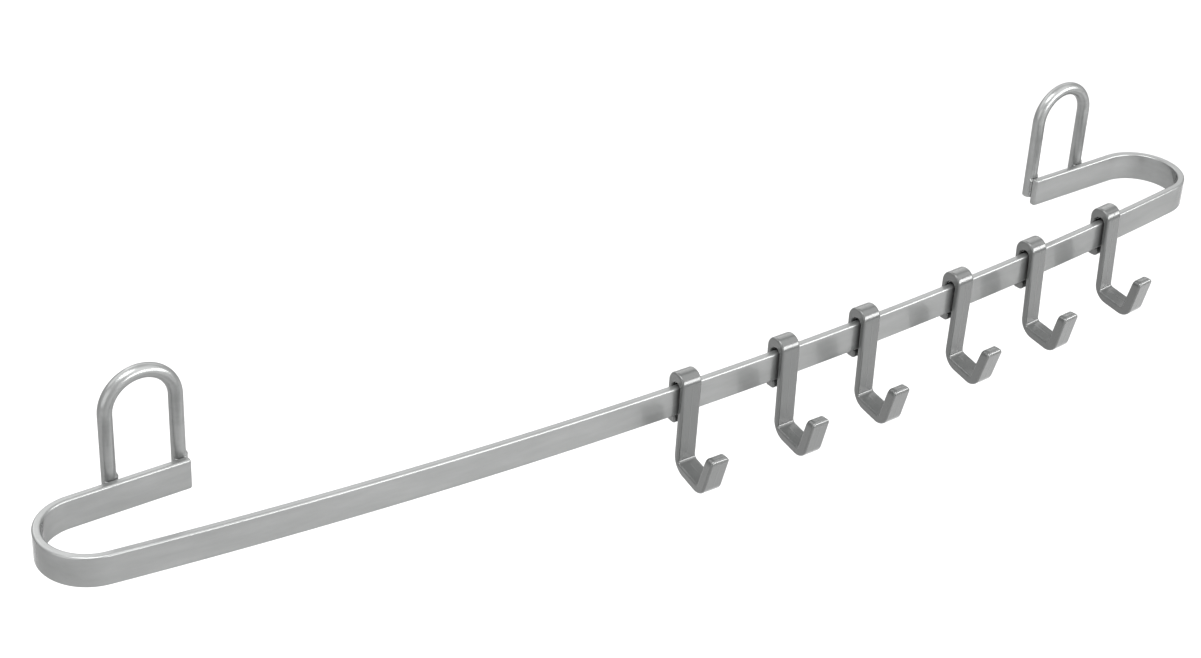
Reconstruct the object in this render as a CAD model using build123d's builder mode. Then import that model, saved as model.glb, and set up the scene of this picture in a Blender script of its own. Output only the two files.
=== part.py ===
"""Wall hook rack: a bowed flat-bar rail with two welded wire loops and six sliding hooks.

+X runs along the rail, +Y points into the wall and +Z is up. The origin lies on the wall,
midway between the two loops, at the height where the loops rest on their screws.
"""
import os
from math import asin, cos, degrees, radians, sin, tan

from build123d import *

# Rail
bar_height = 12.7
bar_thickness = 3.2
bar_edge_radius = 0.9
bar_corner_radius = 1.0
front_chord = 523.0
front_bow = 17.0
bend_radius = 18.6
return_length = 47.8

# Hanging loops and their weld seams
wire_diameter = 5.5
wire_end_radius = 0.6
loop_width = 27.6
loop_rise = 39.4
loop_end_margin = 2.1
leg_lap = 10.2
weld_root_gap = 0.3
weld_width = 3.4
weld_end_margin = 0.6

# Sliding hooks
hook_width = 9.0
hook_wall = 2.7
hook_edge_radius = 0.9
slot_side_clearance = 0.7
slot_headroom = 1.5
crown_thickness = 4.4
lip_clearance = 0.4
lip_thickness = 4.2
lip_mouth = 1.4
lip_back_radius = 2.4
lip_nose_radius = 1.8
lip_root_radius = 0.8
shank_drop = 20.0
arm_reach = 12.6
arm_slope = 12.0
arm_thickness = 4.1
bend_outer_radius = 8.0
crease_radius = 1.2
valley_radius = 0.5
heel_radius = 5.5
tip_rise = 15.0
tip_slope = 15.5
tip_taper = 1.5
tip_root_thickness = 4.9
tip_end_radius = 1.7

# Places of the hooks along the bar, from the right-hand bend back to the left
last_hook_margin = 49.0
hook_pitches = (49.0, 42.8, 53.2, 45.8, 49.7)
# Degrees by which each hook hangs with its foot towards the wall
hook_leans = (1.0, -1.0, -0.7, 1.0, -2.3, -2.0)

# Heights and depths that follow from the sizes above
wire_radius = wire_diameter / 2
crown_centre_z = wire_radius
bar_top_z = crown_centre_z - loop_rise
bar_mid_z = bar_top_z - bar_height / 2
bar_back_y = -wire_diameter - weld_root_gap
bend_centre_y = bar_back_y - bar_thickness / 2 - bend_radius

# The bow: an arc through the ends of the front run, whose centre lies far behind the wall
half_chord = front_chord / 2
bow_radius = (half_chord**2 + front_bow**2) / (2 * front_bow)
bow_half_angle = asin(half_chord / bow_radius)
bend_centre_x = half_chord - bend_radius * sin(bow_half_angle)
front_end_y = bend_centre_y - bend_radius * cos(bow_half_angle)
bow_centre_y = front_end_y + bow_radius * cos(bow_half_angle)
loop_centre_x = bend_centre_x - return_length + loop_end_margin + loop_width / 2

os.makedirs("parts", exist_ok=True)

# Rail: the bar's plan outline, drawn once along each face, and raised to the bar's height
bow_degrees = degrees(bow_half_angle)
with BuildPart() as rail:
    with BuildSketch(Plane.XY.offset(bar_mid_z)) as rail_plan:
        with BuildLine() as rail_outline:
            for face in (-bar_thickness / 2, bar_thickness / 2):
                CenterArc((0, bow_centre_y), bow_radius - face, -90 - bow_degrees, 2 * bow_degrees)
                for side in (-1, 1):
                    CenterArc(
                        (side * bend_centre_x, bend_centre_y),
                        bend_radius - face,
                        -90 + side * bow_degrees,
                        side * (180 - bow_degrees),
                    )
                    Line(
                        (side * bend_centre_x, bend_centre_y + bend_radius - face),
                        (side * (bend_centre_x - return_length), bend_centre_y + bend_radius - face),
                    )
            for side in (-1, 1):
                Line(
                    (side * (bend_centre_x - return_length), bend_centre_y + bend_radius - bar_thickness / 2),
                    (side * (bend_centre_x - return_length), bend_centre_y + bend_radius + bar_thickness / 2),
                )
        make_face()
    extrude(amount=bar_height / 2, both=True)
    fillet(rail.edges().filter_by(Axis.Y), bar_corner_radius)
    long_edges = rail.faces().sort_by(Axis.Z)[-1].edges().filter_by(Axis.Y, reverse=True)
    fillet(long_edges, bar_edge_radius)
rail.part.label = "rail"
export_step(rail.part, "parts/rail.step")

# Hanging loops: one wire each, standing behind the returns with its legs lapped down the bar
leg_low_z = bar_top_z - leg_lap
spring_z = crown_centre_z - loop_width / 2
for loop_name, side in (("left_loop", -1), ("right_loop", 1)):
    leg_left_x = side * loop_centre_x - loop_width / 2
    with BuildPart() as loop:
        with BuildLine(Plane((leg_left_x, -wire_radius, leg_low_z), x_dir=(1, 0, 0), z_dir=(0, -1, 0))) as wire:
            Line((0, 0), (0, spring_z - leg_low_z))
            CenterArc((loop_width / 2, spring_z - leg_low_z), loop_width / 2, 180, -180)
            Line((loop_width, spring_z - leg_low_z), (loop_width, 0))
        with BuildSketch(Plane((leg_left_x, -wire_radius, leg_low_z))) as wire_section:
            Circle(wire_radius)
        sweep(path=wire.line)
        fillet(loop.faces().filter_by(Axis.Z).edges(), wire_end_radius)
    loop.part.label = loop_name
    export_step(loop.part, f"parts/{loop_name}.step")

# Weld seams: each fills the groove between one leg and the flat of the bar
weld_low_z = leg_low_z + weld_end_margin
weld_high_z = bar_top_z - bar_edge_radius
for loop_side, loop_sign in (("left", -1), ("right", 1)):
    for leg_name, leg_sign in (("outer", 1), ("inner", -1)):
        leg_x = loop_sign * (loop_centre_x + leg_sign * loop_width / 2)
        with BuildPart() as weld:
            with BuildSketch(Plane((leg_x, bar_back_y, weld_low_z))) as weld_section:
                Rectangle(weld_width, wire_radius, align=(Align.CENTER, Align.MIN))
                with Locations((0, weld_root_gap + wire_radius)):
                    Circle(wire_radius, mode=Mode.SUBTRACT)
            extrude(amount=weld_high_z - weld_low_z)
        weld_name = f"{loop_side}_{leg_name}_weld"
        weld.part.label = weld_name
        export_step(weld.part, f"parts/{weld_name}.step")

# Hook profile: x runs from the bar's middle towards the wall, y is up from the bar's middle
slot_half = bar_thickness / 2 + slot_side_clearance
hook_half = slot_half + hook_wall
slot_crown_y = bar_height / 2 + slot_headroom - slot_half
outer_crown_y = slot_crown_y + slot_half + crown_thickness - hook_half
lip_top_y = -bar_height / 2 - lip_clearance
lip_front_x = lip_mouth - slot_half
crease = (-hook_half, -bar_height / 2 - shank_drop)
valley = (crease[0] - arm_reach, crease[1] - arm_reach * tan(radians(arm_slope)))
under_arm_y = crease[1] - arm_thickness / cos(radians(arm_slope))
# The arm's underside, carried back to the shank and forward to the outside of the tip
back_corner = (-slot_half, under_arm_y + hook_wall * tan(radians(arm_slope)))
tip_out_slope = tan(radians(tip_slope - tip_taper))
tip_face_x = valley[0] - tip_root_thickness
heel_run = crease[0] - tip_face_x
heel_drop = heel_run * tan(radians(arm_slope))
heel_gap = valley[1] - (under_arm_y - heel_drop)
heel_back = heel_gap * tip_out_slope / (1 - tan(radians(arm_slope)) * tip_out_slope)
heel = (tip_face_x + heel_back, under_arm_y - (heel_run - heel_back) * tan(radians(arm_slope)))
tip_inner = (valley[0] - tip_rise * tan(radians(tip_slope)), valley[1] + tip_rise)
tip_outer = (tip_face_x - tip_rise * tip_out_slope, valley[1] + tip_rise)

# Sliding hooks, each set square to the bow at its own place
bow_half_length = bow_radius * bow_half_angle
for number in range(1, len(hook_leans) + 1):
    station = bow_half_length - last_hook_margin - sum(hook_pitches[number - 1:])
    turn = station / bow_radius
    lean = radians(hook_leans[number - 1])
    seat = (bow_radius * sin(turn), bow_centre_y - bow_radius * cos(turn), bar_mid_z)
    along = (cos(turn), sin(turn), 0)
    wallward = (-sin(turn) * cos(lean), cos(turn) * cos(lean), sin(lean))
    with BuildPart() as hook:
        with BuildSketch(Plane(seat, x_dir=wallward, z_dir=along)) as hook_section:
            with BuildLine() as hook_outline:
                CenterArc((0, slot_crown_y), slot_half, 0, 180)
                FilletPolyline(
                    (-slot_half, slot_crown_y),
                    back_corner,
                    heel,
                    tip_outer,
                    tip_inner,
                    valley,
                    crease,
                    (-hook_half, outer_crown_y),
                    radius=[
                        bend_outer_radius,
                        heel_radius,
                        tip_end_radius,
                        tip_end_radius,
                        valley_radius,
                        crease_radius,
                    ],
                )
                CenterArc((0, outer_crown_y), hook_half, 180, -180)
                FilletPolyline(
                    (hook_half, outer_crown_y),
                    (hook_half, lip_top_y - lip_thickness),
                    (lip_front_x, lip_top_y - lip_thickness),
                    (lip_front_x, lip_top_y),
                    (slot_half, lip_top_y),
                    (slot_half, slot_crown_y),
                    radius=[lip_back_radius, lip_nose_radius, lip_nose_radius, lip_root_radius],
                )
            make_face()
        extrude(amount=hook_width / 2, both=True)
        sides = hook.faces().filter_by(GeomType.PLANE).sort_by(Axis(seat, along))
        fillet(sides[0].edges() + sides[-1].edges(), hook_edge_radius)
    hook.part.label = f"hook_{number}"
    export_step(hook.part, f"parts/hook_{number}.step")
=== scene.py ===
from math import asin, cos, pi, radians, sin, tan

import bmesh
import bpy
import numpy as np
from mathutils import Matrix, Vector


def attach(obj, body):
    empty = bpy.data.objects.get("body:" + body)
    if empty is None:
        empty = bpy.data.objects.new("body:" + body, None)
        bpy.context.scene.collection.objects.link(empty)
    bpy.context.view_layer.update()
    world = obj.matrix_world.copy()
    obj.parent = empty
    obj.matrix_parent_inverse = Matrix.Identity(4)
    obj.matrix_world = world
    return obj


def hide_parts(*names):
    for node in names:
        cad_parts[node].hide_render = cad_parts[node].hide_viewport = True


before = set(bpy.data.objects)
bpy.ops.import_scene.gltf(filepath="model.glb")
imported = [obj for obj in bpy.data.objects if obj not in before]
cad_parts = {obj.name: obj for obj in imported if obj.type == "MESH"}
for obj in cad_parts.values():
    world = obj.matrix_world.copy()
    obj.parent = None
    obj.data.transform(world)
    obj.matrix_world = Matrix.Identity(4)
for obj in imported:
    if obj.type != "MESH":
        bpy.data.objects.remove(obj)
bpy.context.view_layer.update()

MM = 0.001

# Sizes of the bar, in millimetres, as the solids have them
BAR_HEIGHT = 12.7
BAR_THICKNESS = 3.2
BAR_EDGE_RADIUS = 0.9
BAR_CORNER_RADIUS = 1.0
FRONT_CHORD = 523.0
FRONT_BOW = 17.0
BEND_RADIUS = 18.6
RETURN_LENGTH = 47.8

# Sizes of the wire loops and of the groove that the weld beads fill
WIRE_RADIUS = 2.75
WIRE_END_RADIUS = 0.6
LOOP_WIDTH = 27.6
LOOP_RISE = 39.4
LOOP_END_MARGIN = 2.1
LEG_LAP = 10.2
WELD_ROOT_GAP = 0.3

# Sizes of the moulded hooks
HOOK_WIDTH = 9.0
HOOK_WALL = 2.7
HOOK_EDGE_RADIUS = 0.9
SLOT_SIDE_CLEARANCE = 0.7
SLOT_HEADROOM = 1.5
CROWN_THICKNESS = 4.4
LIP_CLEARANCE = 0.4
LIP_THICKNESS = 4.2
LIP_MOUTH = 1.4
LIP_BACK_RADIUS = 2.4
LIP_NOSE_RADIUS = 1.8
LIP_ROOT_RADIUS = 0.8
SHANK_DROP = 20.0
ARM_REACH = 12.6
ARM_SLOPE = radians(12.0)
ARM_THICKNESS = 4.1
BEND_OUTER_RADIUS = 8.0
CREASE_RADIUS = 1.2
VALLEY_RADIUS = 0.5
HEEL_RADIUS = 5.5
TIP_RISE = 15.0
TIP_SLOPE = radians(15.5)
TIP_TAPER = radians(1.5)
TIP_ROOT_THICKNESS = 4.9
TIP_END_RADIUS = 1.7
LAST_HOOK_MARGIN = 49.0
HOOK_PITCHES = (49.0, 42.8, 53.2, 45.8, 49.7)
HOOK_LEANS = (1.0, -1.0, -0.7, 1.0, -2.3, -2.0)

# Fine forms that the solids don't have
TIP_CORNER_RADIUS = 2.5
MOULD_SEAM = 0.025
BEAD_START_GAP = 0.5
BEAD_START_ROUNDING = 0.8
BEAD_RIPPLE_LENGTH = 1.15
# How far from each weld the painted shade and the rougher lacquer reach
PAINTED_SHADE_AND_HAZE_REACH = 3.4

# Heights, depths and the bow that follow from those sizes
BAR_TOP_Z = WIRE_RADIUS - LOOP_RISE
BAR_MID_Z = BAR_TOP_Z - BAR_HEIGHT / 2
BAR_BACK_Y = -2 * WIRE_RADIUS - WELD_ROOT_GAP
BEND_CENTRE_Y = BAR_BACK_Y - BAR_THICKNESS / 2 - BEND_RADIUS
HALF_CHORD = FRONT_CHORD / 2
BOW_RADIUS = (HALF_CHORD**2 + FRONT_BOW**2) / (2 * FRONT_BOW)
BOW_HALF_ANGLE = asin(HALF_CHORD / BOW_RADIUS)
BEND_CENTRE_X = HALF_CHORD - BEND_RADIUS * sin(BOW_HALF_ANGLE)
FRONT_END_Y = BEND_CENTRE_Y - BEND_RADIUS * cos(BOW_HALF_ANGLE)
BOW_CENTRE_Y = FRONT_END_Y + BOW_RADIUS * cos(BOW_HALF_ANGLE)
BOW_LENGTH = BOW_RADIUS * BOW_HALF_ANGLE
BEND_LENGTH = BEND_RADIUS * (pi - BOW_HALF_ANGLE)
HALF_LENGTH = BOW_LENGTH + BEND_LENGTH + RETURN_LENGTH
LOOP_CENTRE_X = BEND_CENTRE_X - RETURN_LENGTH + LOOP_END_MARGIN + LOOP_WIDTH / 2
SPRING_Z = WIRE_RADIUS - LOOP_WIDTH / 2
LEG_LOW_Z = BAR_TOP_Z - LEG_LAP
SLOT_HALF = BAR_THICKNESS / 2 + SLOT_SIDE_CLEARANCE
HOOK_HALF = SLOT_HALF + HOOK_WALL
CREASE = (-HOOK_HALF, -BAR_HEIGHT / 2 - SHANK_DROP)
VALLEY = (CREASE[0] - ARM_REACH, CREASE[1] - ARM_REACH * tan(ARM_SLOPE))

# Numbers of the colour mixing node's sockets
MIX_SHARE = 0
MIX_FIRST = 6
MIX_SECOND = 7
MIX_RESULT = 2

# The floor, in metres, and the white all round
FLOOR_GREY = (0.51, 0.51, 0.51, 1)
FLOOR_ROUGHNESS = 0.9
FLOOR_REACH = 6.0
FLOOR_LEVEL = -0.36
SURROUND_STRENGTH = 0.98

# Soft lights, in metres and watts: name, place, the place it faces, width, depth and power
RACK_MIDDLE = (0.0, -0.05, -0.04)
SOFT_PANELS = (
    ("front_panel", (0.66, -1.26, 0.37), RACK_MIDDLE, 1.9, 0.50, 34),
    ("high_panel", (0.62, -0.80, 1.25), RACK_MIDDLE, 2.0, 1.1, 11),
    ("top_panel", (-0.50, -0.30, 1.45), (-0.1, -0.05, -0.04), 1.0, 0.8, 25),
    ("back_panel", (0.90, 1.30, 1.00), RACK_MIDDLE, 2.4, 1.2, 12),
    ("left_panel", (-1.50, -0.35, 0.25), (-0.2, -0.05, -0.04), 1.2, 0.9, 6),
    ("wall_panel", (-0.60, 1.15, 1.05), RACK_MIDDLE, 2.0, 1.0, 12),
)

# The camera, from a fit of the rack's edges to the photograph
VIEW_TURN = radians(37.05)
VIEW_DROP = radians(31.0)
VIEW_ROLL = radians(3.0)
VIEW_DISTANCE = 979.9
AIM_LEFT = 44.64
AIM_UP = 11.50
FOCUS_PIXELS = 2471.6
PICTURE_WIDTH = 1201.0
SENSOR_WIDTH = 36.0


class Tone:
    """One output socket of a finish, which Python can add, subtract and multiply.

    Each operator adds a Math node to the finish; make() adds any other kind of node.
    """

    def __init__(self, socket):
        self.socket = socket
        self.tree = socket.id_data

    @staticmethod
    def make(tree, kind, settings=None, inputs=None, output=0):
        """Adds a node of this kind, sets its settings, then sets or links its inputs by name or number."""
        node = tree.nodes.new(kind)
        for key, value in (settings or {}).items():
            setattr(node, key, value)
        for key, value in (inputs or {}).items():
            if isinstance(value, Tone):
                tree.links.new(value.socket, node.inputs[key])
            else:
                node.inputs[key].default_value = value
        return Tone(node.outputs[output])

    def sum(self, operation, first, second):
        """One Math node on two values, either of which may be a plain number."""
        return Tone.make(self.tree, "ShaderNodeMath", {"operation": operation}, {0: first, 1: second})

    def __add__(self, other):
        return self.sum("ADD", self, other)

    def __radd__(self, other):
        return self.sum("ADD", other, self)

    def __sub__(self, other):
        return self.sum("SUBTRACT", self, other)

    def __rsub__(self, other):
        return self.sum("SUBTRACT", other, self)

    def __mul__(self, other):
        return self.sum("MULTIPLY", self, other)

    def __rmul__(self, other):
        return self.sum("MULTIPLY", other, self)


def new_finish(name):
    """A material with a shader linked to its output: returns it, its node tree and the shader's node."""
    material = bpy.data.materials.new(name)
    material.use_nodes = True
    tree = material.node_tree
    tree.nodes.clear()
    shader = tree.nodes.new("ShaderNodeBsdfPrincipled")
    output = tree.nodes.new("ShaderNodeOutputMaterial")
    tree.links.new(shader.outputs["BSDF"], output.inputs["Surface"])
    return material, tree, shader


def stretched_place(tree, scale):
    """Object coordinates in millimetres, times a scale of its own along each axis."""
    place = Tone.make(tree, "ShaderNodeTexCoord", output="Object")
    return Tone.make(
        tree,
        "ShaderNodeMapping",
        {"vector_type": "POINT"},
        {"Vector": place, "Scale": tuple(s / MM for s in scale)},
    )


def cloud(tree, scale, detail=2.0, roughness=0.5):
    """Soft noise from 0 to 1; scale is how many clouds there are in a millimetre along each axis."""
    return Tone.make(
        tree,
        "ShaderNodeTexNoise",
        {"noise_dimensions": "3D"},
        {"Vector": stretched_place(tree, scale), "Scale": 1.0, "Detail": detail, "Roughness": roughness},
        "Fac",
    )


def mark_value(tree, mark):
    """The value from 0 to 1 that a piece's points carry under the mark's name."""
    return Tone.make(tree, "ShaderNodeAttribute", {"attribute_name": mark}, {}, "Fac")


def mixed_colour(tree, share, first, second):
    """First colour where share is 0 and second where it is 1."""
    return Tone.make(
        tree,
        "ShaderNodeMix",
        {"data_type": "RGBA", "blend_type": "MIX"},
        {MIX_SHARE: share, MIX_FIRST: first, MIX_SECOND: second},
        MIX_RESULT,
    )


def bumped(tree, height, strength, distance_mm):
    """A normal tilted by a height from 0 to 1, which stands for distance_mm."""
    inputs = {"Height": height, "Strength": strength, "Distance": distance_mm * MM}
    return Tone.make(tree, "ShaderNodeBump", {}, inputs, "Normal")


def feed(tree, shader, colour, gloss, normal):
    """Links a finish's colour, roughness and normal to its shader."""
    tree.links.new(colour.socket, shader.inputs["Base Color"])
    tree.links.new(gloss.socket, shader.inputs["Roughness"])
    tree.links.new(normal.socket, shader.inputs["Normal"])


def silver_lacquer():
    """Silver lacquer with fine metal flake over steel: flake, orange peel, slow clouds, and painted shade with
    rougher lacquer near the welds.

    The clouds, the flake and the weld mark each move the colour and the gloss by a share of their own; the weld
    mark's darker colour is painted shade in the joints. The dark tint dims the metal at a slant, as flake
    lacquer does.
    """
    deep_silver = (0.178, 0.182, 0.180, 1)
    light_silver = (0.230, 0.234, 0.232, 1)
    slant_tint = (0.08, 0.08, 0.08, 1)
    flakes_per_mm = (4.5, 4.5, 4.5)
    peel_per_mm = (0.55, 0.55, 0.55)
    clouds_per_mm = (0.030, 0.08, 0.20)
    material, tree, shader = new_finish("silver_lacquer")
    flake = Tone.make(
        tree,
        "ShaderNodeTexVoronoi",
        {"feature": "F1"},
        {"Vector": stretched_place(tree, flakes_per_mm), "Scale": 1.0},
        "Color",
    )
    flake_value = Tone.make(tree, "ShaderNodeSeparateColor", {}, {"Color": flake}, "Red")
    peel = cloud(tree, peel_per_mm)
    drift = cloud(tree, clouds_per_mm, detail=3.0, roughness=0.6)
    painted_shade_and_haze = mark_value(tree, "painted_weld_shade_and_haze")
    # The weld mark darkens the colour as painted shade where the legs meet the bar; in the gloss below it only
    # makes the lacquer rougher
    share = drift * 1.6 + flake_value * 0.10 - 0.35 - painted_shade_and_haze * 0.35
    colour = mixed_colour(tree, share, deep_silver, light_silver)
    gloss = 0.31 + drift * 0.06 + flake_value * 0.03 + painted_shade_and_haze * 0.12
    normal = bumped(tree, peel, strength=0.10, distance_mm=0.04)
    shader.inputs["Metallic"].default_value = 0.75
    shader.inputs["Specular Tint"].default_value = slant_tint
    shader.inputs["Coat Weight"].default_value = 0.7
    shader.inputs["Coat Roughness"].default_value = 0.09
    feed(tree, shader, colour, gloss, normal)
    return material


def hook_moulding():
    """Satin grey moulding: fine spark texture, faint flow clouds, and a rubbed gloss where it slides."""
    deep_grey = (0.041, 0.043, 0.042, 1)
    light_grey = (0.056, 0.058, 0.057, 1)
    grain_per_mm = (5.0, 5.0, 5.0)
    flow_per_mm = (0.09, 0.09, 0.05)
    material, tree, shader = new_finish("hook_moulding")
    grain = cloud(tree, grain_per_mm)
    flow = cloud(tree, flow_per_mm, detail=3.0)
    rub = mark_value(tree, "slide_rub")
    share = flow * 0.6 + grain * 0.3
    colour = mixed_colour(tree, share, deep_grey, light_grey)
    gloss = 0.20 + grain * 0.06 + flow * 0.05 - rub * 0.06
    normal = bumped(tree, grain, strength=0.18, distance_mm=0.03)
    shader.inputs["Specular IOR Level"].default_value = 0.6
    shader.inputs["Coat Weight"].default_value = 0.5
    shader.inputs["Coat Roughness"].default_value = 0.12
    feed(tree, shader, colour, gloss, normal)
    return material


def ring_grid(rows, ring):
    """Faces of a grid of rows, each a closed ring of points, in order along the piece."""
    row = np.arange(rows - 1)[:, None] * ring
    step = np.arange(ring)[None, :]
    after = (step + 1) % ring
    quads = np.stack([row + step, row + after, row + ring + after, row + ring + step], axis=-1)
    return quads.reshape(-1, 4).tolist()


def capped_rings(points):
    """Faces for a row of rings, with the first and last ring closed by one flat face each."""
    rows, ring = points.shape[:2]
    first = list(range(ring))
    last = [(rows - 1) * ring + step for step in first]
    return ring_grid(rows, ring) + [first[::-1], last]


def lay_piece(name, points, faces, finish, body, node, marks):
    """Puts points in millimetres and faces into a mesh, and rides it on its body in place of its node.

    The marks are values at the points, for the finish to read. Points that meet are joined.
    """
    mesh = bpy.data.meshes.new(name)
    mesh.from_pydata((points.reshape(-1, 3) * MM).tolist(), [], faces)
    for mark, values in marks.items():
        layer = mesh.attributes.new(mark, "FLOAT", "POINT")
        layer.data.foreach_set("value", np.ascontiguousarray(values, dtype=np.float32).ravel())
    joined = bmesh.new()
    joined.from_mesh(mesh)
    bmesh.ops.remove_doubles(joined, verts=joined.verts, dist=0.002 * MM)
    bmesh.ops.dissolve_degenerate(joined, edges=joined.edges, dist=0.001 * MM)
    bmesh.ops.recalc_face_normals(joined, faces=joined.faces)
    joined.to_mesh(mesh)
    joined.free()
    mesh.shade_smooth()
    mesh.materials.append(finish)
    piece = bpy.data.objects.new(name, mesh)
    bpy.context.scene.collection.objects.link(piece)
    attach(piece, body)
    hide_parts(node)


def lay_steel_piece(name, points, finish, node, painted_shade_and_haze):
    """Lays a lacquered piece of the rack, made of rings with closed ends."""
    faces = capped_rings(points)
    lay_piece(name, points, faces, finish, "rack", node, {"painted_weld_shade_and_haze": painted_shade_and_haze})


def eased(start, end, count):
    """Places from start to end that crowd together at the end, as the sine of an even angle does."""
    return start + (end - start) * np.sin(np.linspace(0, pi / 2, count))


def bar_line(run):
    """The bar's middle line in plan, by the length run from the middle of the bow.

    A shallow arc, a tight bend and a straight return: the place is the sum of the two arcs' chords
    and the straight, the heading is the angle turned, and a negative run is the mirror image.
    """
    length = np.abs(run)
    side = np.where(run < 0, -1.0, 1.0)
    bow_turn = np.minimum(length, BOW_LENGTH) / BOW_RADIUS
    turn = bow_turn + np.clip(length - BOW_LENGTH, 0, BEND_LENGTH) / BEND_RADIUS
    straight = np.clip(length - BOW_LENGTH - BEND_LENGTH, 0, None)
    x = BOW_RADIUS * np.sin(bow_turn) + BEND_RADIUS * (np.sin(turn) - np.sin(bow_turn)) - straight
    y = BOW_CENTRE_Y - BOW_RADIUS * np.cos(bow_turn) - BEND_RADIUS * (np.cos(turn) - np.cos(bow_turn))
    return side * x, y, side * turn


def bar_section():
    """Shares for a ring round the bar: up the outer face, over the top, down the inner face and under.

    Each point has its corner centre's shares of the half depth and half height, then the unit
    direction out of it: the point is share times (half side less radius), plus radius times direction.
    The second half of the ring is the first turned half way round.
    """
    corner = np.linspace(0, pi / 2, 9, endpoint=False)
    face = np.array([-1, -0.97, -0.7, -0.35, 0, 0.35, 0.7, 0.97])
    top = np.array([1, 0.9, 0, -0.9])
    at_corner = np.ones(len(corner))
    depth = np.concatenate([np.ones(len(face)), at_corner, top, -at_corner])
    height = np.concatenate([face, at_corner, np.ones(len(top)), at_corner])
    angle = np.concatenate([np.zeros(len(face)), corner, np.full(len(top), pi / 2), pi / 2 + corner])
    out_part = np.cos(angle)
    up_part = np.sin(angle)
    return [np.concatenate([part, -part]) for part in (depth, height, out_part, up_part)]


def painted_weld_shade_and_haze_at(points):
    """From 1 at a weld to 0 some 6 mm away: a bell curve of the distance to the nearest leg on the bar. The
    lacquer darkens with it as painted shade in the joint, and grows rougher.
    """
    painted_shade_and_haze = np.zeros(points.shape[:-1])
    for side in (-1, 1):
        for leg in (-1, 1):
            seat = np.array([side * LOOP_CENTRE_X + leg * LOOP_WIDTH / 2, BAR_BACK_Y, BAR_TOP_Z])
            away = np.linalg.norm(points - seat, axis=-1)
            painted_shade_and_haze = np.maximum(painted_shade_and_haze, np.exp(-((away / PAINTED_SHADE_AND_HAZE_REACH) ** 2)))
    return painted_shade_and_haze


def rail_surface():
    """The bar's section carried along the bar's line.

    At the two cut ends the half height follows the corner radius and the half depth the edge
    radius, as circles of the length left to the end, and a last, smaller ring makes the end flat.
    """
    end_inset = 0.08
    least_flat = 0.05
    bow = np.linspace(-BOW_LENGTH, BOW_LENGTH, 261)
    bend = np.linspace(BOW_LENGTH, BOW_LENGTH + BEND_LENGTH, 73)[1:]
    back = np.linspace(BOW_LENGTH + BEND_LENGTH, HALF_LENGTH - BAR_CORNER_RADIUS, 37)[1:]
    end = eased(HALF_LENGTH - BAR_CORNER_RADIUS, HALF_LENGTH, 15)[1:]
    right = np.concatenate([bend, back, end, end[-1:]])
    run = np.concatenate([-right[::-1], bow, right])
    inset = np.zeros(len(run))
    inset[[0, -1]] = end_inset
    left_over = HALF_LENGTH - np.abs(run)
    into_corner = np.clip(BAR_CORNER_RADIUS - left_over, 0, BAR_CORNER_RADIUS)
    into_edge = np.clip(BAR_EDGE_RADIUS - left_over, 0, BAR_EDGE_RADIUS)
    half_height = BAR_HEIGHT / 2 - BAR_CORNER_RADIUS + np.sqrt(BAR_CORNER_RADIUS**2 - into_corner**2)
    half_depth = BAR_THICKNESS / 2 - BAR_EDGE_RADIUS + np.sqrt(BAR_EDGE_RADIUS**2 - into_edge**2)
    half_height = (half_height - inset)[:, None]
    half_depth = (half_depth - inset)[:, None]
    radius = np.minimum(BAR_EDGE_RADIUS, half_depth - least_flat)
    depth, height, out_part, up_part = bar_section()
    out = depth * (half_depth - radius) + radius * out_part
    up = height * (half_height - radius) + radius * up_part
    x, y, heading = (part[:, None] for part in bar_line(run))
    return np.stack([x + out * np.sin(heading), y - out * np.cos(heading), BAR_MID_Z + up], axis=-1)


def loop_surface(side):
    """A circle carried up one leg, round the half-circle crown and down the other leg.

    The angle turned round the crown gives the way out from the crown's centre, and each end closes as the
    circle of its small rounding, then a smaller ring makes the end flat.
    """
    end_inset = 0.1
    leg = SPRING_Z - LEG_LOW_Z
    crown = pi * LOOP_WIDTH / 4
    arc = np.linspace(-crown, crown, 97)
    straight = np.linspace(crown, crown + leg - WIRE_END_RADIUS, 26)[1:]
    end = eased(crown + leg - WIRE_END_RADIUS, crown + leg, 7)[1:]
    right = np.concatenate([straight, end, end[-1:]])
    run = np.concatenate([-right[::-1], arc, right])
    inset = np.zeros(len(run))
    inset[[0, -1]] = end_inset
    turn = np.clip(run / (LOOP_WIDTH / 2), -pi / 2, pi / 2)[:, None]
    down = np.clip(np.abs(run) - crown, 0, None)[:, None]
    into_end = np.clip(WIRE_END_RADIUS - (crown + leg - np.abs(run)), 0, WIRE_END_RADIUS)
    radius = WIRE_RADIUS - WIRE_END_RADIUS + np.sqrt(WIRE_END_RADIUS**2 - into_end**2)
    radius = (radius - inset)[:, None]
    around = np.linspace(0, 2 * pi, 40, endpoint=False)
    reach = LOOP_WIDTH / 2 + radius * np.cos(around)
    x = side * LOOP_CENTRE_X + reach * np.sin(turn)
    y = -WIRE_RADIUS + radius * np.sin(around)
    z = SPRING_Z + reach * np.cos(turn) - down
    return np.stack(np.broadcast_arrays(x, y, z), axis=-1)


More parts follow.
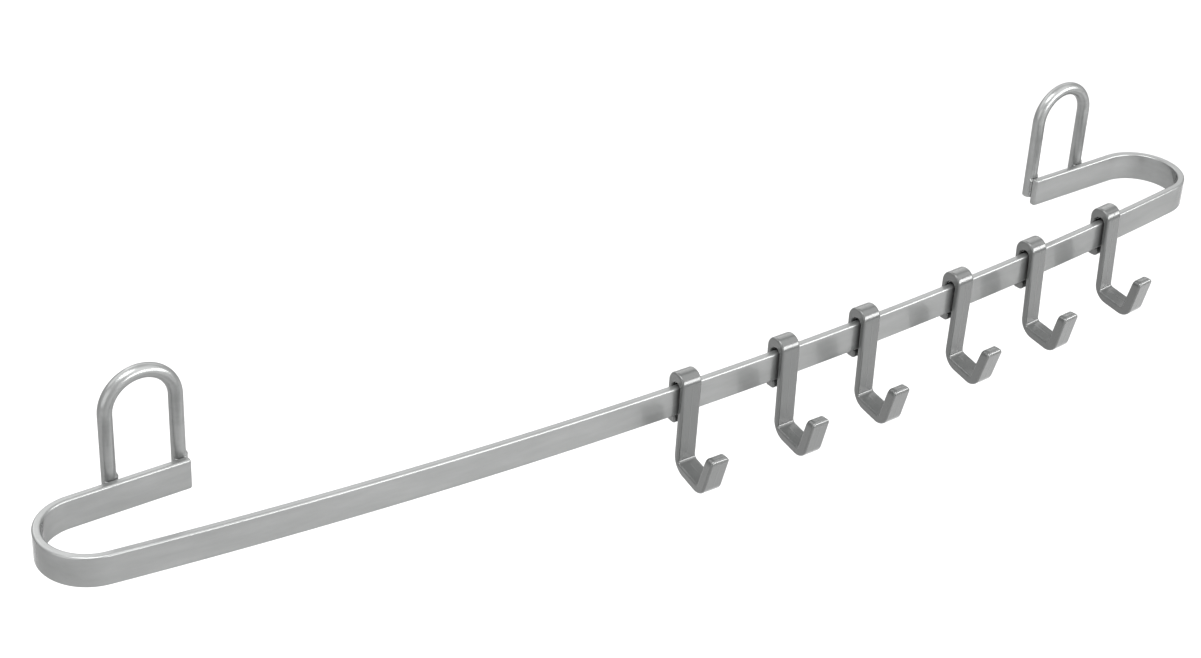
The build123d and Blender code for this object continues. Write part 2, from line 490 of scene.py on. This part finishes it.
def weld_surface(leg_x, lean, swell):
    """An ellipse carried up the groove between a leg and the bar, with ripples, into a collar round the leg.

    Each of the ellipse's sizes goes from its value in the groove to its value in the collar by a smooth step
    of the height. Above the bar's top the collar's flare dies away, so the bead fairs into the leg.
    """
    step_from = BAR_TOP_Z - 2.0
    step_middle = -1.15
    step_length = 0.17
    flare_length = 0.9
    groove_half_width, groove_half_depth, groove_middle = 2.3, 0.85, 0.40
    collar_half_width, collar_half_depth, collar_middle = 2.55, 1.8, 2.45
    in_groove = np.linspace(LEG_LOW_Z + BEAD_START_GAP, step_from, 46)
    over_edge = np.linspace(step_from, BAR_TOP_Z + 1.9, 52)[1:]
    height = np.concatenate([in_groove, over_edge])
    above = height - BAR_TOP_Z
    collar = 1 / (1 + np.exp(-(above - step_middle) / step_length))
    flare = np.exp(-np.clip(above + 0.1, 0, None) / flare_length)
    quick_ripple = 0.10 * np.sin(height * 2 * pi / BEAD_RIPPLE_LENGTH + lean * 9)
    slow_ripple = 0.06 * np.sin(height * 2.1 + lean * 4)
    ripple = quick_ripple + slow_ripple
    start = np.clip((height - LEG_LOW_Z - BEAD_START_GAP) / BEAD_START_ROUNDING, 0, 1)
    rounding = 0.25 + 0.75 * np.sqrt(1 - (1 - start) ** 2)
    in_width = (groove_half_width + ripple) * rounding
    in_depth = (groove_half_depth + 0.4 * ripple) * rounding
    half_width = (1 - collar) * in_width + collar * (collar_half_width + swell * flare)
    half_depth = (1 - collar) * in_depth + collar * collar_half_depth
    middle_y = BAR_BACK_Y + (1 - collar) * groove_middle + collar * (collar_middle - 0.12 * flare)
    around = np.linspace(0, 2 * pi, 36, endpoint=False)
    x = leg_x + (lean * collar * flare)[:, None] + half_width[:, None] * np.cos(around)
    y = middle_y[:, None] + half_depth[:, None] * np.sin(around)
    return np.stack(np.broadcast_arrays(x, y, height[:, None]), axis=-1)


def straight_steps(start, end, count):
    """Even places from start up to, but not at, end, each with the way it is heading."""
    start, end = np.asarray(start, float), np.asarray(end, float)
    share = np.linspace(0, 1, count, endpoint=False)[:, None]
    heading = (end - start) / np.linalg.norm(end - start)
    return np.hstack([start + (end - start) * share, np.repeat(heading[None, :], count, axis=0)])


def arc_steps(centre, radius, first, turn, count):
    """Even places on an arc from the first angle, through turn, each with the way it is heading."""
    angle = first + turn * np.linspace(0, 1, count, endpoint=False)
    out = np.stack([np.cos(angle), np.sin(angle)], axis=-1)
    heading = np.sign(turn) * np.stack([-np.sin(angle), np.cos(angle)], axis=-1)
    return np.hstack([np.asarray(centre, float) + radius * out, heading])


def rounded_route(places, radii, straight_counts, corner_counts):
    """Straights between places, with an arc of its own radius at each place between the first and last."""
    places = [np.asarray(place, float) for place in places]
    steps = []
    here = places[0]
    for number, radius in enumerate(radii):
        before, corner, after = places[number:number + 3]
        came = (corner - before) / np.linalg.norm(corner - before)
        goes = (after - corner) / np.linalg.norm(after - corner)
        turn = np.arctan2(came[0] * goes[1] - came[1] * goes[0], came @ goes)
        back = radius * tan(abs(turn) / 2)
        start = corner - came * back
        centre = start + np.sign(turn) * radius * np.array([-came[1], came[0]])
        first = np.arctan2(start[1] - centre[1], start[0] - centre[0])
        steps.append(straight_steps(here, start, straight_counts[number]))
        steps.append(arc_steps(centre, radius, first, turn, corner_counts[number]))
        here = corner + goes * back
    steps.append(straight_steps(here, places[-1], straight_counts[-1]))
    return np.concatenate(steps)


def hook_edge(lip, lip_radii, crown_radius, crown_y, foot, foot_radii):
    """One long edge of the hook in profile, from the middle of the lip's nose to the middle of the tip's end.

    The lip's route, a half circle over the bar, then the foot's route. Both edges have the same number of
    steps on each stretch, so that step for step they face each other across the moulding.
    """
    climb = rounded_route([*lip, (crown_radius, crown_y)], lip_radii, (3, 5, 16), (12, 12))
    crown = arc_steps((0, crown_y), crown_radius, 0, pi, 48)
    drop = rounded_route([(-crown_radius, crown_y), *foot], foot_radii, (32, 14, 16, 3), (18, 16, 10))
    last = straight_steps(foot[-1], 2 * np.asarray(foot[-1]) - drop[-1, :2], 1)
    return np.concatenate([climb, crown, drop, last])


def hook_section():
    """A ring round the hook's section: each point's share from inner to outer edge, depth in and width.

    Up one side of the inner band, over a quarter-circle edge, across the flat side, over the next edge and
    along the outer band; the other half is its mirror image. A fine mould seam stands along each band's middle.
    """
    half = HOOK_WIDTH / 2
    flat = half - HOOK_EDGE_RADIUS
    quarter = np.linspace(0, pi / 2, 7)
    edge_in = MOULD_SEAM + HOOK_EDGE_RADIUS * (1 - np.cos(quarter))
    edge_width = flat + HOOK_EDGE_RADIUS * np.sin(quarter)
    band_width = np.array([0.0, 0.10, 0.22, 0.40, 1.8, flat - 0.15])
    band_in = MOULD_SEAM * np.array([0.0, 0.15, 1, 1, 1, 1])
    side_share = np.array([0.04, 0.3, 0.7, 0.96])
    side_in = np.full(len(side_share), edge_in[-1])
    side_width = np.full(len(side_share), half)
    band_and_edge = len(band_in) + len(edge_in)
    share = np.concatenate([np.zeros(band_and_edge), side_share, np.ones(band_and_edge)])
    inset = np.concatenate([band_in, edge_in, side_in, edge_in[::-1], band_in[::-1]])
    width = np.concatenate([band_width, edge_width, side_width, edge_width[::-1], band_width[::-1]])
    mirrored = slice(-2, 0, -1)
    return (
        np.concatenate([share, share[mirrored]]),
        np.concatenate([inset, inset[mirrored]]),
        np.concatenate([width, -width[mirrored]]),
    )


def hook_profile():
    """The hook's two edges in profile: x runs from the bar's middle to the wall, y up from the bar's middle."""
    slot_crown_y = BAR_HEIGHT / 2 + SLOT_HEADROOM - SLOT_HALF
    outer_crown_y = slot_crown_y + SLOT_HALF + CROWN_THICKNESS - HOOK_HALF
    lip_top_y = -BAR_HEIGHT / 2 - LIP_CLEARANCE
    lip_low_y = lip_top_y - LIP_THICKNESS
    lip_front_x = LIP_MOUTH - SLOT_HALF
    under_arm_y = CREASE[1] - ARM_THICKNESS / cos(ARM_SLOPE)
    back_corner = (-SLOT_HALF, under_arm_y + HOOK_WALL * tan(ARM_SLOPE))
    out_slope = tan(TIP_SLOPE - TIP_TAPER)
    tip_face_x = VALLEY[0] - TIP_ROOT_THICKNESS
    heel_run = CREASE[0] - tip_face_x
    heel_gap = VALLEY[1] - (under_arm_y - heel_run * tan(ARM_SLOPE))
    heel_back = heel_gap * out_slope / (1 - tan(ARM_SLOPE) * out_slope)
    heel = (tip_face_x + heel_back, under_arm_y - (heel_run - heel_back) * tan(ARM_SLOPE))
    tip_inner = (VALLEY[0] - TIP_RISE * tan(TIP_SLOPE), VALLEY[1] + TIP_RISE)
    tip_outer = (tip_face_x - TIP_RISE * out_slope, VALLEY[1] + TIP_RISE)
    tip_middle = ((tip_inner[0] + tip_outer[0]) / 2, tip_inner[1])
    nose = (lip_front_x, (lip_top_y + lip_low_y) / 2)
    inner = hook_edge(
        [nose, (lip_front_x, lip_top_y), (SLOT_HALF, lip_top_y)],
        (LIP_NOSE_RADIUS, LIP_ROOT_RADIUS),
        SLOT_HALF,
        slot_crown_y,
        [back_corner, heel, tip_outer, tip_middle],
        (BEND_OUTER_RADIUS, HEEL_RADIUS, TIP_END_RADIUS),
    )
    outer = hook_edge(
        [nose, (lip_front_x, lip_low_y), (HOOK_HALF, lip_low_y)],
        (LIP_NOSE_RADIUS, LIP_BACK_RADIUS),
        HOOK_HALF,
        outer_crown_y,
        [CREASE, VALLEY, tip_inner, tip_middle],
        (CREASE_RADIUS, VALLEY_RADIUS, TIP_END_RADIUS),
    )
    return inner, outer


def tip_narrowing(profile):
    """Share of the width that is left: near the end of the tip, a quarter circle of the height left."""
    height_left = VALLEY[1] + TIP_RISE - profile[..., 1]
    into_corner = np.clip(TIP_CORNER_RADIUS - height_left, 0, TIP_CORNER_RADIUS)
    taken_off = TIP_CORNER_RADIUS - np.sqrt(TIP_CORNER_RADIUS**2 - into_corner**2)
    return np.where(profile[..., 0] < VALLEY[0], 1 - taken_off / (HOOK_WIDTH / 2), 1.0)


def hook_surface(station, lean):
    """The hook's ring carried along its two edges, then set square to the bow at its station.

    Each ring point is set in from its edge along the edge's own normal, and the flat sides are straight
    lines from edge to edge. The whole is leant about the bar and turned with the bow. The second result
    marks the points inside the slot, which rub on the bar.
    """
    inner, outer = hook_profile()
    share, inset, width = hook_section()
    inner_out = np.stack([-inner[:, 3], inner[:, 2]], axis=-1)[:, None, :]
    outer_out = np.stack([outer[:, 3], -outer[:, 2]], axis=-1)[:, None, :]
    depth = inset[None, :, None]
    from_inner = inner[:, None, :2] - inner_out * depth
    from_outer = outer[:, None, :2] - outer_out * depth
    blend = share[None, :, None]
    profile = from_inner * (1 - blend) + from_outer * blend
    across = (width[None, :] * tip_narrowing(profile))[..., None]
    turn = station / BOW_RADIUS
    along = np.array([cos(turn), sin(turn), 0])
    wallward = np.array([-sin(turn) * cos(lean), cos(turn) * cos(lean), sin(lean)])
    upward = np.cross(along, wallward)
    seat = np.array([BOW_RADIUS * sin(turn), BOW_CENTRE_Y - BOW_RADIUS * cos(turn), BAR_MID_Z])
    points = seat + profile[..., :1] * wallward + profile[..., 1:] * upward + across * along
    rub_depth = 0.2
    rub_low_y = -BAR_HEIGHT / 2 - 2.0
    rub_front_x = -3.0
    on_slot = (share == 0) & (inset < rub_depth)
    beside_bar = (inner[:, 1] > rub_low_y) & (inner[:, 0] > rub_front_x)
    return points, (beside_bar[:, None] & on_slot[None, :]).astype(float)


def pale_floor():
    """A wide pale floor well under the rack, which hangs free above it."""
    material, _, shader = new_finish("pale_floor")
    shader.inputs["Base Color"].default_value = FLOOR_GREY
    shader.inputs["Roughness"].default_value = FLOOR_ROUGHNESS
    mesh = bpy.data.meshes.new("pale_floor")
    around = ((-1, -1), (1, -1), (1, 1), (-1, 1))
    corners = [(x * FLOOR_REACH, y * FLOOR_REACH, FLOOR_LEVEL) for x, y in around]
    mesh.from_pydata(corners, [], [(0, 1, 2, 3)])
    mesh.materials.append(material)
    floor = bpy.data.objects.new("pale_floor", mesh)
    bpy.context.scene.collection.objects.link(floor)


def white_surround():
    """An even white light from all round."""
    surround = bpy.data.worlds.new("white_surround")
    surround.use_nodes = True
    background = surround.node_tree.nodes["Background"]
    background.inputs["Color"].default_value = (1, 1, 1, 1)
    background.inputs["Strength"].default_value = SURROUND_STRENGTH
    bpy.context.scene.world = surround


def soft_panel(name, place, target, width, depth, watts):
    """A soft rectangular light at a place, turned to face a target."""
    light = bpy.data.lights.new(name, "AREA")
    light.shape = "RECTANGLE"
    light.size = width
    light.size_y = depth
    light.energy = watts
    lamp = bpy.data.objects.new(name, light)
    lamp.location = place
    lamp.rotation_euler = (Vector(target) - Vector(place)).to_track_quat("-Z", "Y").to_euler()
    bpy.context.scene.collection.objects.link(lamp)


def photo_camera():
    """The photograph's camera: turned, dropped and rolled, then drawn back.

    It aims a little to the left of the middle of the front run's chord, and a little above it.
    """
    ahead = np.array([sin(VIEW_TURN) * cos(VIEW_DROP), cos(VIEW_TURN) * cos(VIEW_DROP), -sin(VIEW_DROP)])
    level_right = np.cross(ahead, (0, 0, 1))
    level_right /= np.linalg.norm(level_right)
    level_up = np.cross(level_right, ahead)
    right = cos(VIEW_ROLL) * level_right + sin(VIEW_ROLL) * level_up
    up = -sin(VIEW_ROLL) * level_right + cos(VIEW_ROLL) * level_up
    chord_middle = np.array([0, FRONT_END_Y, BAR_MID_Z])
    eye = chord_middle - AIM_LEFT * right + AIM_UP * up - VIEW_DISTANCE * ahead
    camera_data = bpy.data.cameras.new("photo_camera")
    camera_data.sensor_fit = "HORIZONTAL"
    camera_data.sensor_width = SENSOR_WIDTH
    camera_data.lens = FOCUS_PIXELS * SENSOR_WIDTH / PICTURE_WIDTH
    camera = bpy.data.objects.new("photo_camera", camera_data)
    turned = Matrix(np.stack([right, up, -ahead], axis=-1).tolist()).to_4x4()
    camera.matrix_world = Matrix.Translation(Vector(eye * MM)) @ turned
    bpy.context.scene.collection.objects.link(camera)
    bpy.context.scene.camera = camera


lacquer = silver_lacquer()
moulding = hook_moulding()

# The rail, the two loops and their four weld beads, all on the rack's own body
rail_points = rail_surface()
lay_steel_piece("lacquered_rail", rail_points, lacquer, "rail", painted_weld_shade_and_haze_at(rail_points))
for loop_side, loop_sign in (("left", -1), ("right", 1)):
    wire_points = loop_surface(loop_sign)
    wire_painted_shade_and_haze = painted_weld_shade_and_haze_at(wire_points)
    lay_steel_piece(f"{loop_side}_wire_loop", wire_points, lacquer, f"{loop_side}_loop", wire_painted_shade_and_haze)
    for leg_name, leg_sign, lean, swell in (("outer", 1, 0.38, 0.42), ("inner", -1, 0.33, 0.38)):
        leg_x = loop_sign * (LOOP_CENTRE_X + leg_sign * LOOP_WIDTH / 2)
        bead_points = weld_surface(leg_x, lean + 0.03 * loop_sign, swell)
        # Each bead carries at least 0.6 of the weld mark, so it is darkened all over with painted shade and its
        # lacquer is rougher
        bead_painted_shade_and_haze = 0.6 + 0.4 * painted_weld_shade_and_haze_at(bead_points)
        weld_name = f"{loop_side}_{leg_name}_weld"
        lay_steel_piece(f"{weld_name}_bead", bead_points, lacquer, weld_name, bead_painted_shade_and_haze)

# The six hooks, each on its own body
for number, lean in enumerate(HOOK_LEANS, start=1):
    station = BOW_LENGTH - LAST_HOOK_MARGIN - sum(HOOK_PITCHES[number - 1:])
    hook_points, rub = hook_surface(station, radians(lean))
    lay_piece(
        f"moulded_hook_{number}",
        hook_points,
        ring_grid(*hook_points.shape[:2]),
        moulding,
        f"hook_{number}_body",
        f"hook_{number}",
        {"slide_rub": rub},
    )

# The floor, the light and the camera
pale_floor()
white_surround()
for panel in SOFT_PANELS:
    soft_panel(*panel)
bpy.context.scene.view_settings.view_transform = "Standard"
photo_camera()
